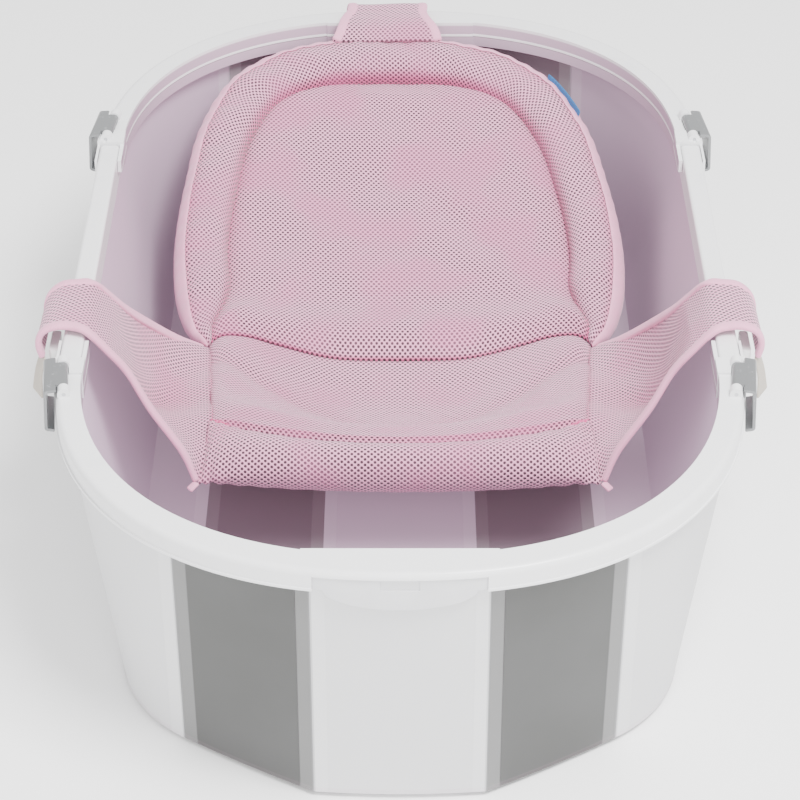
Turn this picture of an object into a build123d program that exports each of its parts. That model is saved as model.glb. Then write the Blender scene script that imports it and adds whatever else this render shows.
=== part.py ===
"""Baby bathtub: a striped shell of stiff panels under a two-rail frame with two folding end rims,
four outside clips, and a lift-off mesh sling. Millimetres, +Z up, -Y is the foot end.
The origin is the middle of the footprint, on the surface that the tub stands on."""

import os
from math import acos, atan2, cos, degrees, radians, sin

from build123d import *

os.makedirs("parts", exist_ok=True)

# ---- overall sizes -------------------------------------------------------------------------
WIDTH = 500.0  # over the two side rails
HEIGHT = 205.0  # standing surface to the top of the frame
RAIL_RUN = 338.0  # from one collar's face to the other, along a rail
RIM_REACH = 264.0  # from a collar's face to the tip of its end rim
ARCH_POWER = 2.27  # 2 would be an ellipse; a larger value is a fuller arch
ARCH_STEP = 10.0  # degrees between the points that an arch passes through

# ---- frame section -------------------------------------------------------------------------
RAIL_BAND = 16.0  # width of a rail's top
RIM_SIDE_BAND = 18.0  # width of a rim's top beside the collars
RIM_TIP_BAND = 22.0  # width of a rim's top at the tip of the arch
RIM_TOP = 2.6
RAIL_TOP = 3.2  # thicker than the rim's, so the shell's hem bears on the rails alone
SKIRT = 2.6
OUTER_SKIRT_DROP = 16.0
INNER_SKIRT_DROP = 23.0
CREST_RADIUS = 4.2
LIP_PROUD = 1.1  # small flange round the bottom of the outer skirt
LIP_HEIGHT = 1.8
CHORD_BACK = 29.5  # from the tip of the arch in to the straight middle of the inner edge
CHORD_HALF = 66.0

# ---- collars, rail ends and their pins -----------------------------------------------------
COLLAR_LENGTH = 21.0
COLLAR_PROUD = 2.0
COLLAR_DROP = 20.0
COLLAR_FACE = 3.0
CHEEK = 3.0
CHEEK_REACH = 28.0  # from the collar's face along the rail
CHEEK_GAP = 0.4
CHEEK_TOP_DROP = 1.0
NOSE_BELOW_PIN = 5.5  # the cheek's nose reaches this far below the pin's axis
PIN_BACK = 14.0  # from the collar's face to the pin's axis
PIN_DROP = 6.0  # from the frame's top to the pin's axis
PIN_RADIUS = 2.0
PIN_CLEARANCE = 0.06
END_GAP = 0.8
END_BLOCK = 26.0
END_BLOCK_DROP = 18.0
END_CORNER = 4.0
END_ROUND = 2.5

# ---- clips ---------------------------------------------------------------------------------
CLIP_TURN = 6.0  # the barrel follows the rim, a little off the tub's length
CLIP_BACK = 27.5  # from the collar's face to the middle of the barrel
CLIP_IN = 6.5  # from the rail's outer face in to the barrel's axis
CLIP_AXIS_UP = 2.2  # barrel's axis above the frame's top
BARREL_LENGTH = 30.0
BARREL_RADIUS = 3.4
CLIP_PIN_RADIUS = 1.5
KNUCKLE_LENGTH = 8.0
KNUCKLE_RADIUS = 4.6
KNUCKLE_GAP = 0.5
PLATE_LENGTH = 44.0
PLATE = 2.2
PLATE_OUT = 14.5  # from the barrel's axis out to the plate's outer face
PLATE_DROP = 30.0
LIP_IN = 4.0
ARM_OUT = KNUCKLE_RADIUS + 1.9  # where the arm widens from the barrel's length to the plate's
ARM_Y = BARREL_RADIUS - PLATE / 2

# ---- grip plates ---------------------------------------------------------------------------
GRIP_HALF = 58.0
GRIP = 2.2
GRIP_RECESS = 0.9
GRIP_TOP_DROP = 5.0
APRON_HALF = 51.0
APRON_DROP = 30.0
FINGER_SLOT = 26.0
FINGER_HEIGHT = 9.0
FINGER_DEPTH = 1.2

# ---- shell ---------------------------------------------------------------------------------
WALL = 3.0
HEM_INSET = 4.0  # from the frame's outer face in to the shell's outer face, at the hem
SIDE_TAPER = 41.0  # how far a side wall leans in from the hem to the base
TIP_TAPER = 11.0
CENTRE_HALF = 60.0
STRIPE_HALF = 154.0
CENTRE_BACK = 3.0  # from the tip of the base back to the corners of the centre panel
STRIPE_BACK = 61.0  # from the tip of the base back to the outer corners of the grey panels
FACET_SLANT = 1.08  # wall thickness measured along Y, against across the panel, at the base
BASE_SIDE_RUN = 90.0  # straight run of the base's sides past the collar's face
FACET_BULGE = 1.5
SEAM_BAND = 10.0
SEAM_STEP = 0.7
FLOOR = 3.0
FOOT = 4.0
NOTCH_ALONG = 31.0  # notch in the hem, from the collar's face along the rail
NOTCH_BACK = 12.0
NOTCH_DROP = 22.0
NOTCH_CUT = 60.0

# ---- feet ----------------------------------------------------------------------------------
END_FOOT = (82.0, 20.0)
END_FOOT_BACK = 16.0  # from the tip of the base to the foot's middle
SIDE_FOOT = (30.0, 56.0)
SIDE_FOOT_IN = 29.0  # from the side of the base in to the foot's middle
SIDE_FOOT_Y = 250.0
FOOT_CORNER = 7.0

# ---- drain ---------------------------------------------------------------------------------
DRAIN_BACK = 88.0  # from the tip of the base to the drain's axis
DRAIN_BORE = 15.0
DRAIN_WALL = 2.0
DRAIN_FLANGE = 24.0
DRAIN_RIM = 1.6
PLUG_CLEARANCE = 0.08
PLUG_FLANGE = 20.0
PLUG_TOP = 1.6
PLUG_UP = 0.5  # the plug stops this far above the floor's underside
LOOP_RADIUS = 9.0
LOOP_HOLE = 5.0
LOOP_THICK = 3.0
LOOP_UP = 8.0

# ---- sling ---------------------------------------------------------------------------------
RING_WALL_ROOM = 66.0  # from the outside of the rails in to the ring's edge
RING_TIP_IN = 42.0  # from the tip of the rim in to the ring's top edge
RING_TOP_DROP = 15.0
RING_TUBE_HALF = 13.0
BACK_RUN = 321.0  # from the crease to the middle of the ring's top, on plan
CREASE_DROP = 136.0
RING_BAND = 42.0
RING_THICK = 28.0
PANEL_THICK = 9.0
PANEL_SINK = 5.0
SOFT_GAP = 0.4
SEAT_RUN = 208.0  # from the crease to the front roll's axis, on plan
SEAT_NARROW = 36.0  # the seat's half width is this much less than the ring's
SEAT_SINK = 3.0
ROLL_DROP = 107.0
ROLL_RADIUS = 22.0
ROLL_END_ROUND = 12.0
STRAP = 5.0
STRAP_WIDTH = 76.0
STRAP_BACK = 5.0  # from the cheek's nose to the strap's front edge
STRAP_CLEAR = 0.7
STRAP_BULGE = 5.0  # how far the strap's fall stands off the rail
STRAP_FALL = 14.0
WEB_CLEAR = 5.0
WEB_LAP = 4.0
HOOK_LENGTH = 28.0
HOOK_THICK = 7.0
HOOK_FALL = 12.0
HOOK_BACK = 16.0  # from the strap's front edge to the hook's middle
TAB_WIDTH = 16.0
TAB_THICK = 2.4
TAB_FALL = 22.0
TOP_STRAP_HALF = 46.0
TOP_STRAP_FALL = 24.0
TOP_HOOK_LENGTH = 46.0
LABEL_RUN = (0.76, 0.87)  # shares of the back's length where the side label starts and ends
LABEL_THICK = 1.2
LABEL_HEIGHT = 12.0

# ---- derived places ------------------------------------------------------------------------
HALF = WIDTH / 2
RING_HALF = HALF - RING_WALL_ROOM
FACE_Y = RAIL_RUN / 2
TIP_Y = FACE_Y + RIM_REACH
PIN_Y = FACE_Y - PIN_BACK
PIN_Z = HEIGHT - PIN_DROP
CHORD_Y = TIP_Y - CHORD_BACK
COLLAR_IN = HALF - RAIL_BAND - CHEEK_GAP - CHEEK
COLLAR_OUT = HALF + CHEEK_GAP + COLLAR_PROUD
FLOOR_Z = FOOT + FLOOR
HEM_Z = HEIGHT - RAIL_TOP
HEM_HALF = HALF - HEM_INSET
HEM_REACH = RIM_REACH - HEM_INSET
BASE_HALF = HEM_HALF - SIDE_TAPER
BASE_REACH = HEM_REACH - TIP_TAPER
BASE_TIP_Y = FACE_Y + BASE_REACH
CLIP_Y = FACE_Y + CLIP_BACK
CLIP_X = HALF - CLIP_IN
CLIP_Z = HEIGHT + CLIP_AXIS_UP
GRIP_TOP = HEIGHT - GRIP_TOP_DROP
ENDS = {"front": -1, "rear": 1}
SIDES = {"left": -1, "right": 1}


def finish(part, name):
    """Label a finished piece and write it."""
    part.label = name
    export_step(part, f"parts/{name}.step")


def arch_y(x, half, reach):
    """How far an arch of this half width and reach stands out at x."""
    return reach * (1 - (abs(x) / half) ** ARCH_POWER) ** (1 / ARCH_POWER)


def arch_points(half, reach, first, last, end):
    """Points round an end arch between two angles in degrees, where 0 is its +X foot."""
    points = []
    count = round(abs(last - first) / ARCH_STEP)
    for step in range(count + 1):
        angle = radians(first + (last - first) * step / count)
        across = half * abs(cos(angle)) ** (2 / ARCH_POWER)
        along = reach * max(sin(angle), 0.0) ** (2 / ARCH_POWER)
        points.append((across if cos(angle) > 0 else -across, end * (FACE_Y + along)))
    return points


def arch_angle(x, half):
    """Angle in degrees at which an arch of this half width stands at x."""
    return degrees(acos((x / half) ** (ARCH_POWER / 2)))


def arch_band(half_out, reach_out, half_in, reach_in, end):
    """Sketch the band between two end arches in the active sketch."""
    with BuildLine() as band:
        outer = Spline(*arch_points(half_out, reach_out, 0, 180, end))
        inner = Spline(*arch_points(half_in, reach_in, 0, 180, end))
        Line(outer @ 0, inner @ 0)
        Line(outer @ 1, inner @ 1)
    make_face(band.edges())


# ---- side rails: inverted channels with a solid, bored block at each end ---------------------
for side, s in SIDES.items():
    rail_x = s * (HALF - RAIL_BAND / 2)
    rail_length = RAIL_RUN - 2 * END_GAP
    with BuildPart() as rail:
        with BuildSketch(Plane.XY.offset(HEIGHT - RAIL_TOP)):
            with Locations((rail_x, 0)):
                RectangleRounded(RAIL_BAND, rail_length, END_CORNER)
        extrude(amount=RAIL_TOP)
        with BuildSketch(Plane.XY.offset(HEIGHT - OUTER_SKIRT_DROP)):
            with Locations((s * (HALF - SKIRT / 2), 0)):
                Rectangle(SKIRT, rail_length - 2 * END_CORNER)
        extrude(amount=OUTER_SKIRT_DROP - RAIL_TOP)
        with BuildSketch(Plane.XY.offset(HEIGHT - INNER_SKIRT_DROP)):
            with Locations((s * (HALF - RAIL_BAND + SKIRT / 2), 0)):
                Rectangle(SKIRT, rail_length - 2 * END_CORNER)
        extrude(amount=INNER_SKIRT_DROP - RAIL_TOP)
        for end in ENDS.values():
            block_y = end * (FACE_Y - END_GAP - END_BLOCK / 2)
            with BuildSketch(Plane.XY.offset(HEIGHT - END_BLOCK_DROP)):
                with Locations((rail_x, block_y)):
                    RectangleRounded(RAIL_BAND, END_BLOCK, END_CORNER)
            extrude(amount=END_BLOCK_DROP - RAIL_TOP)
        top_edges = rail.faces().sort_by(Axis.Z)[-1].edges()
        fillet(top_edges, END_ROUND)
        with BuildSketch(Plane.YZ.offset(s * HALF)):
            with Locations((PIN_Y, PIN_Z), (-PIN_Y, PIN_Z)):
                Circle(PIN_RADIUS)
        extrude(amount=-s * RAIL_BAND, mode=Mode.SUBTRACT)
    finish(rail.part, f"rail_{side}")

# ---- pins that carry the collars on the rails ------------------------------------------------
for end_name, end in ENDS.items():
    with BuildPart() as collar_pins:
        for s in SIDES.values():
            with BuildSketch(Plane.YZ.offset(s * COLLAR_IN)):
                with Locations((end * PIN_Y, PIN_Z)):
                    Circle(PIN_RADIUS)
            extrude(amount=s * (COLLAR_OUT - COLLAR_IN))
    finish(collar_pins.part, f"collar_pins_{end_name}")

# ---- end rims: inverted channels round the arch, with collars, cheeks and clip knuckles ------
RIM_IN_HALF = HALF - RIM_SIDE_BAND
RIM_IN_REACH = RIM_REACH - RIM_TIP_BAND
SKIRT_IN_HALF = HALF - SKIRT
SKIRT_IN_REACH = RIM_REACH - SKIRT


def clip_plane(end, s):
    """Plane across a clip's barrel at its middle: x out of the tub, y up."""
    turn = radians(CLIP_TURN)
    along = (end * sin(turn), -s * cos(turn), 0)
    out = (s * cos(turn), end * sin(turn), 0)
    return Plane(origin=(s * CLIP_X, end * CLIP_Y, CLIP_Z), x_dir=out, z_dir=along)


for end_name, end in ENDS.items():
    with BuildPart() as rim:
        with BuildSketch(Plane.XY.offset(HEIGHT - INNER_SKIRT_DROP)):
            arch_band(HALF, RIM_REACH, RIM_IN_HALF, RIM_IN_REACH, end)
            chord_depth = TIP_Y - RIM_TIP_BAND + 1 - CHORD_Y
            with Locations((0, end * (CHORD_Y + chord_depth / 2))):
                Rectangle(2 * CHORD_HALF, chord_depth)
        extrude(amount=INNER_SKIRT_DROP)
        crest = rim.faces().sort_by(Axis.Z)[-1].edges().sort_by(SortBy.LENGTH)[-1]
        fillet(crest, CREST_RADIUS)
        with BuildSketch(Plane.XY.offset(HEIGHT - INNER_SKIRT_DROP)):
            arch_band(SKIRT_IN_HALF, SKIRT_IN_REACH, RIM_IN_HALF + SKIRT, RIM_IN_REACH + SKIRT, end)
        extrude(amount=INNER_SKIRT_DROP - RIM_TOP, mode=Mode.SUBTRACT)
        with BuildSketch(Plane.XY.offset(HEIGHT - INNER_SKIRT_DROP)):
            arch_band(HALF + 1, RIM_REACH + 1, SKIRT_IN_HALF, SKIRT_IN_REACH, end)
        extrude(amount=INNER_SKIRT_DROP - OUTER_SKIRT_DROP, mode=Mode.SUBTRACT)
        with BuildSketch(Plane.XY.offset(HEIGHT - OUTER_SKIRT_DROP)):
            arch_band(HALF + LIP_PROUD, RIM_REACH + LIP_PROUD, HALF - 1, RIM_REACH - 1, end)
        extrude(amount=LIP_HEIGHT)
        # The outer skirt opens for the grip plate in the middle.
        grip_back = RIM_REACH - arch_y(GRIP_HALF, HALF, RIM_REACH)
        with BuildSketch(Plane.XY.offset(HEIGHT - OUTER_SKIRT_DROP)):
            with Locations((0, end * TIP_Y)):
                Rectangle(2 * GRIP_HALF, 4 * SKIRT + 2 * grip_back)
        extrude(amount=OUTER_SKIRT_DROP - GRIP_TOP_DROP, mode=Mode.SUBTRACT)
        for s in SIDES.values():
            collar_mid = s * (COLLAR_IN + COLLAR_OUT) / 2
            with BuildSketch(Plane.XY.offset(HEIGHT - COLLAR_DROP)):
                with Locations((collar_mid, end * (FACE_Y + COLLAR_LENGTH / 2))):
                    Rectangle(COLLAR_OUT - COLLAR_IN, COLLAR_LENGTH)
            extrude(amount=COLLAR_DROP + COLLAR_PROUD)
            hollow_mid = s * (RIM_IN_HALF + SKIRT + SKIRT_IN_HALF) / 2
            with BuildSketch(Plane.XY.offset(HEIGHT - INNER_SKIRT_DROP)):
                with Locations((hollow_mid, end * (FACE_Y + COLLAR_FACE + COLLAR_LENGTH / 2))):
                    Rectangle(SKIRT_IN_HALF - RIM_IN_HALF - SKIRT, COLLAR_LENGTH)
            extrude(amount=INNER_SKIRT_DROP - RIM_TOP, mode=Mode.SUBTRACT)
            # Two cheeks run on along the rail and carry the pin.
            for face, thick in ((COLLAR_IN, CHEEK), (HALF + CHEEK_GAP, COLLAR_PROUD)):
                root = end * (FACE_Y + CHEEK)
                nose = end * (FACE_Y - CHEEK_REACH)
                with BuildSketch(Plane.YZ.offset(s * face)):
                    with BuildLine():
                        Polyline(
                            (root, HEIGHT - COLLAR_DROP),
                            (nose, PIN_Z - NOSE_BELOW_PIN),
                            (nose, HEIGHT - CHEEK_TOP_DROP),
                            (root, HEIGHT - CHEEK_TOP_DROP),
                            close=True,
                        )
                    make_face()
                extrude(amount=s * thick)
                with BuildSketch(Plane.YZ.offset(s * face)):
                    with Locations((end * PIN_Y, PIN_Z)):
                        Circle(PIN_RADIUS + PIN_CLEARANCE)
                extrude(amount=s * thick, mode=Mode.SUBTRACT)
            # Knuckles stand either side of the clip's barrel, which beds in a shallow groove.
            across = clip_plane(end, s)
            for way in (-1, 1):
                with BuildSketch(across.offset(way * (BARREL_LENGTH / 2 + KNUCKLE_GAP))):
                    Circle(KNUCKLE_RADIUS)
                    with Locations((0, -CLIP_AXIS_UP / 2)):
                        Rectangle(2 * KNUCKLE_RADIUS, CLIP_AXIS_UP)
                    with Locations((0, -CLIP_AXIS_UP - RIM_TOP / 2 - KNUCKLE_RADIUS)):
                        Rectangle(4 * KNUCKLE_RADIUS, 2 * KNUCKLE_RADIUS, mode=Mode.SUBTRACT)
                extrude(amount=way * KNUCKLE_LENGTH)
            with BuildSketch(across.offset(-PLATE_LENGTH)):
                Circle(CLIP_PIN_RADIUS)
            extrude(amount=2 * PLATE_LENGTH, mode=Mode.SUBTRACT)
            with BuildSketch(across.offset(-BARREL_LENGTH / 2 - KNUCKLE_GAP)):
                Circle(BARREL_RADIUS + KNUCKLE_GAP)
            extrude(amount=BARREL_LENGTH + 2 * KNUCKLE_GAP, mode=Mode.SUBTRACT)
    finish(rim.part, f"rim_{end_name}")

# ---- grip plates, set in the opening of each outer skirt, with a half-oval apron -------------
for end_name, end in ENDS.items():
    with BuildPart() as grip:
        with BuildSketch(Plane.XY.offset(HEIGHT - APRON_DROP)):
            inset = GRIP_RECESS + GRIP
            arch_band(HALF - GRIP_RECESS, RIM_REACH - GRIP_RECESS, HALF - inset, RIM_REACH - inset, end)
        extrude(amount=APRON_DROP - GRIP_TOP_DROP)
        with BuildSketch(Plane.XZ.offset(-end * (TIP_Y - 30))):
            with Locations((0, (GRIP_TOP + HEIGHT - OUTER_SKIRT_DROP) / 2)):
                Rectangle(2 * GRIP_HALF, OUTER_SKIRT_DROP - GRIP_TOP_DROP)
            with Locations((0, HEIGHT - OUTER_SKIRT_DROP)):
                Ellipse(APRON_HALF, APRON_DROP - OUTER_SKIRT_DROP)
        extrude(amount=-end * 60, mode=Mode.INTERSECT)
        slot_z = GRIP_TOP - FINGER_HEIGHT / 2
        with BuildSketch(Plane.XZ.offset(-end * (TIP_Y - GRIP_RECESS - FINGER_DEPTH))):
            with Locations((0, slot_z)):
                Rectangle(FINGER_SLOT, FINGER_HEIGHT)
        extrude(amount=-end * 2 * GRIP, mode=Mode.SUBTRACT)
    finish(grip.part, f"grip_{end_name}")

# ---- clips: a barrel on the rim, an arm over the edge and a plate down the outside -----------
for end_name, end in ENDS.items():
    for side, s in SIDES.items():
        across = clip_plane(end, s)
        with BuildPart() as clip:
            with BuildSketch(across.offset(-BARREL_LENGTH / 2)):
                Circle(BARREL_RADIUS)
                with Locations((ARM_OUT / 2, ARM_Y)):
                    Rectangle(ARM_OUT + 2, PLATE)
            extrude(amount=BARREL_LENGTH)
            with BuildSketch(across.offset(-PLATE_LENGTH / 2)):
                with BuildLine() as profile:
                    route = FilletPolyline(
                        (ARM_OUT, ARM_Y),
                        (PLATE_OUT - PLATE / 2, ARM_Y - 0.8),
                        (PLATE_OUT - PLATE / 2 + 1.2, -PLATE_DROP),
                        (PLATE_OUT - PLATE / 2 - LIP_IN, -PLATE_DROP - 1.2),
                        radius=1.9,
                    )
                    offset(route, amount=PLATE / 2, side=Side.BOTH)
                make_face(profile.edges() - route.edges())
            extrude(amount=PLATE_LENGTH)
            with BuildSketch(across.offset(-PLATE_LENGTH / 2)):
                Circle(CLIP_PIN_RADIUS + PIN_CLEARANCE)
            extrude(amount=PLATE_LENGTH, mode=Mode.SUBTRACT)
        finish(clip.part, f"clip_{end_name}_{side}")

for end_name, end in ENDS.items():
    with BuildPart() as clip_pins:
        for s in SIDES.values():
            across = clip_plane(end, s)
            pin_half = BARREL_LENGTH / 2 + KNUCKLE_GAP + KNUCKLE_LENGTH
            with BuildSketch(across.offset(-pin_half)):
                Circle(CLIP_PIN_RADIUS)
            extrude(amount=2 * pin_half)
    finish(clip_pins.part, f"clip_pins_{end_name}")

# ---- shell: walls lofted from a full arch at the hem to flatter facets at the base -----------
def hem_point(x, inset):
    """Point of the hem line at x, taken in by inset, for the +Y end."""
    return (x, FACE_Y + arch_y(x, HEM_HALF - inset, HEM_REACH - inset))


def base_point(x, inset):
    """Point of the base line at x, taken in by inset, for the +Y end."""
    if x == 0:
        return (0, BASE_TIP_Y - inset)
    share = (abs(x) - CENTRE_HALF) / (STRIPE_HALF - CENTRE_HALF)
    back = CENTRE_BACK + (STRIPE_BACK - CENTRE_BACK) * share
    return (x, BASE_TIP_Y - back - inset * FACET_SLANT)


def end_panel_face(x_0, x_1, point, out, inset, end):
    """Sketch an end panel's thin plan, between x_0 and x_1, from out proud to inset in."""
    x_m = (x_0 + x_1) / 2
    bulge = 0 if x_m == 0 or point is hem_point else FACET_BULGE
    curves = []
    with BuildLine() as thin:
        for shift in (-out, inset):
            a = point(x_0, shift)
            b = point(x_m, shift)
            c = point(x_1, shift)
            b = (b[0], b[1] + bulge)
            curves.append(ThreePointArc(*((x, end * y) for x, y in (a, b, c))))
        Line(curves[0] @ 0, curves[1] @ 0)
        Line(curves[0] @ 1, curves[1] @ 1)
    make_face(thin.edges())


for end_name, end in ENDS.items():
    stripes = {
        f"centre_{end_name}_panel": (-CENTRE_HALF, CENTRE_HALF),
        f"grey_{end_name}_panel_left": (-STRIPE_HALF, -CENTRE_HALF),
        f"grey_{end_name}_panel_right": (CENTRE_HALF, STRIPE_HALF),
    }
    for name, (x_0, x_1) in stripes.items():
        with BuildPart() as panel:
            with BuildSketch(Plane.XY.offset(FLOOR_Z)):
                end_panel_face(x_0, x_1, base_point, 0, WALL, end)
            with BuildSketch(Plane.XY.offset(HEM_Z)):
                end_panel_face(x_0, x_1, hem_point, 0, WALL, end)
            loft(ruled=True)
            if name.startswith("grey"):
                # The panel is a step thicker between the flexible bands beside its seams.
                with BuildSketch(Plane.XY.offset(FLOOR_Z)):
                    end_panel_face(x_0 + SEAM_BAND, x_1 - SEAM_BAND, base_point, SEAM_STEP, 1, end)
                with BuildSketch(Plane.XY.offset(HEM_Z)):
                    end_panel_face(x_0 + SEAM_BAND, x_1 - SEAM_BAND, hem_point, SEAM_STEP, 1, end)
                loft(ruled=True)
        finish(panel.part, name)


def side_line(s, inset, at_base):
    """Edges of a side shell's plan from the front seam round to the rear seam."""
    edges = []
    if at_base:
        seam = base_point(STRIPE_HALF, inset)
        corner = (s * (BASE_HALF - inset), FACE_Y + BASE_SIDE_RUN)
        front = TangentArc((corner[0], -corner[1]), (s * seam[0], -seam[1]), tangent=(0, -1))
        edges = [front, Line((corner[0], -corner[1]), corner)]
        edges.append(TangentArc(corner, (s * seam[0], seam[1]), tangent=(0, 1)))
    else:
        half = HEM_HALF - inset
        around = arch_points(half, HEM_REACH - inset, 0, arch_angle(STRIPE_HALF, half), 1)
        edges = [Spline(*((s * x, -y) for x, y in around))]
        edges.append(Line((s * half, -FACE_Y), (s * half, FACE_Y)))
        edges.append(Spline(*((s * x, y) for x, y in around)))
    return edges


def side_shell_face(s, at_base):
    """Sketch a side shell's thin plan."""
    with BuildLine() as thin:
        outer = side_line(s, 0, at_base)
        inner = side_line(s, WALL, at_base)
        Line(outer[0] @ 1, inner[0] @ 1)
        Line(outer[2] @ 1, inner[2] @ 1)
    make_face(thin.edges())


for side, s in SIDES.items():
    with BuildPart() as side_shell:
        with BuildSketch(Plane.XY.offset(FLOOR_Z)):
            side_shell_face(s, True)
        with BuildSketch(Plane.XY.offset(HEM_Z)):
            side_shell_face(s, False)
        loft(ruled=True)
        # The hem is notched round the rail ends and the collars.
        notch_mid = FACE_Y + (NOTCH_BACK - NOTCH_ALONG) / 2
        with BuildSketch(Plane.XY.offset(HEIGHT - NOTCH_DROP)):
            with Locations((s * HALF, notch_mid), (s * HALF, -notch_mid)):
                Rectangle(NOTCH_CUT, NOTCH_ALONG + NOTCH_BACK)
        extrude(amount=NOTCH_DROP, mode=Mode.SUBTRACT)
    finish(side_shell.part, f"side_shell_{side}")

# ---- floor strips, drain and feet ------------------------------------------------------------
DRAIN_HOLE = DRAIN_BORE + DRAIN_WALL
DRAIN_Y = DRAIN_BACK - BASE_TIP_Y

with BuildPart() as floor_centre:
    with BuildSketch(Plane.XY.offset(FOOT)):
        with BuildLine():
            arcs = []
            for end in ENDS.values():
                a, b = base_point(CENTRE_HALF, 0), base_point(0, 0)
                arcs.append(ThreePointArc((-a[0], end * a[1]), (0, end * b[1]), (a[0], end * a[1])))
            Line(arcs[0] @ 0, arcs[1] @ 0)
            Line(arcs[0] @ 1, arcs[1] @ 1)
        make_face()
        with Locations((0, DRAIN_Y)):
            Circle(DRAIN_HOLE, mode=Mode.SUBTRACT)
    extrude(amount=FLOOR)
finish(floor_centre.part, "floor_strip_centre")

for side, s in SIDES.items():
    with BuildPart() as floor_grey:
        with BuildSketch(Plane.XY.offset(FOOT)):
            with BuildLine():
                arcs = []
                for end in ENDS.values():
                    a = base_point(CENTRE_HALF, 0)
                    c = base_point(STRIPE_HALF, 0)
                    b = base_point((CENTRE_HALF + STRIPE_HALF) / 2, 0)
                    trio = ((s * x, end * y) for x, y in (a, (b[0], b[1] + FACET_BULGE), c))
                    arcs.append(ThreePointArc(*trio))
                Line(arcs[0] @ 0, arcs[1] @ 0)
                Line(arcs[0] @ 1, arcs[1] @ 1)
            make_face()
        extrude(amount=FLOOR)
    finish(floor_grey.part, f"floor_strip_grey_{side}")
    with BuildPart() as floor_side:
        with BuildSketch(Plane.XY.offset(FOOT)):
            with BuildLine():
                edges = side_line(s, 0, True)
                Line(edges[0] @ 1, edges[2] @ 1)
            make_face()
        extrude(amount=FLOOR)
    finish(floor_side.part, f"floor_strip_side_{side}")

with BuildPart() as drain_seat:
    with BuildSketch(Plane.XY.offset(FLOOR_Z)):
        with Locations((0, DRAIN_Y)):
            Circle(DRAIN_FLANGE)
            Circle(DRAIN_BORE, mode=Mode.SUBTRACT)
    extrude(amount=DRAIN_RIM)
    with BuildSketch(Plane.XY.offset(FOOT)):
        with Locations((0, DRAIN_Y)):
            Circle(DRAIN_HOLE)
            Circle(DRAIN_BORE, mode=Mode.SUBTRACT)
    extrude(amount=FLOOR)
finish(drain_seat.part, "drain_seat")

with BuildPart() as drain_plug:
    with BuildSketch(Plane.XY.offset(FOOT + PLUG_UP)):
        with Locations((0, DRAIN_Y)):
            Circle(DRAIN_BORE - PLUG_CLEARANCE)
    extrude(amount=FLOOR - PLUG_UP + DRAIN_RIM)
    with BuildSketch(Plane.XY.offset(FLOOR_Z + DRAIN_RIM)):
        with Locations((0, DRAIN_Y)):
            Circle(PLUG_FLANGE)
    extrude(amount=PLUG_TOP)
    with BuildSketch(Plane.XZ.offset(-DRAIN_Y - LOOP_THICK / 2)):
        with Locations((0, FLOOR_Z + DRAIN_RIM + LOOP_UP)):
            Circle(LOOP_RADIUS)
            Circle(LOOP_HOLE, mode=Mode.SUBTRACT)
    extrude(amount=LOOP_THICK)
    split(bisect_by=Plane.XY.offset(FOOT + PLUG_UP), keep=Keep.TOP)
finish(drain_plug.part, "drain_plug")

end_foot_y = BASE_TIP_Y - END_FOOT_BACK
side_foot_x = BASE_HALF - SIDE_FOOT_IN
FEET = {
    "foot_front": (0, -end_foot_y, END_FOOT),
    "foot_rear": (0, end_foot_y, END_FOOT),
    "foot_front_left": (-side_foot_x, -SIDE_FOOT_Y, SIDE_FOOT),
    "foot_front_right": (side_foot_x, -SIDE_FOOT_Y, SIDE_FOOT),
    "foot_rear_left": (-side_foot_x, SIDE_FOOT_Y, SIDE_FOOT),
    "foot_rear_right": (side_foot_x, SIDE_FOOT_Y, SIDE_FOOT),
}
for name, (x, y, foot_size) in FEET.items():
    with BuildPart() as foot:
        with BuildSketch():
            with Locations((x, y)):
                RectangleRounded(*foot_size, FOOT_CORNER)
        extrude(amount=FOOT)
    finish(foot.part, name)

# ---- sling: back ring and panel on the reclined plane ------------------------------------------
RING_TOP_Y = TIP_Y - RING_TIP_IN
CREASE_Y = RING_TOP_Y - RING_TUBE_HALF - BACK_RUN
CREASE_Z = HEIGHT - CREASE_DROP
RECLINE = atan2(CREASE_DROP - RING_TOP_DROP, BACK_RUN)
BACK_PLANE = Plane(
    origin=(0, CREASE_Y, CREASE_Z),
    x_dir=(1, 0, 0),
    z_dir=(0, -sin(RECLINE), cos(RECLINE)),
)
BACK_LENGTH = (RING_TOP_Y - CREASE_Y) / cos(RECLINE)
# Shares of the ring's half width and of the back's length, from the crease to the top.
RING_OUTLINE = ((0.84, 0), (1, 0.27), (0.985, 0.5), (0.9, 0.72), (0.71, 0.89), (0.38, 0.98))


def ring_points(inset):
    """The back ring's outline taken in by inset, from the right foot over the top to the left."""
    right = []
    for x_share, y_share in RING_OUTLINE:
        lean = y_share**2
        x = RING_HALF * x_share - inset * (1 - 0.35 * lean)
        right.append((x, BACK_LENGTH * y_share - 0.95 * inset * lean))
    return [*right, (0, BACK_LENGTH - inset), *((-x, y) for x, y in reversed(right))]


with BuildPart() as back_ring:
    with BuildSketch(BACK_PLANE):
        with BuildLine():
            ring_out = Spline(*ring_points(0))
            ring_in = Spline(*ring_points(RING_BAND))
            Line(ring_out @ 0, ring_in @ 0)
            Line(ring_out @ 1, ring_in @ 1)
        make_face()
    extrude(amount=RING_THICK / 2, both=True)
finish(back_ring.part, "sling_back_ring")

with BuildPart() as back_panel:
    with BuildSketch(BACK_PLANE.offset(-PANEL_SINK - PANEL_THICK / 2)):
        with BuildLine():
            panel_line = Spline(*ring_points(RING_BAND + SOFT_GAP))
            Line(panel_line @ 0, panel_line @ 1)
        make_face()
    extrude(amount=PANEL_THICK)
finish(back_panel.part, "sling_back_panel")

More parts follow.
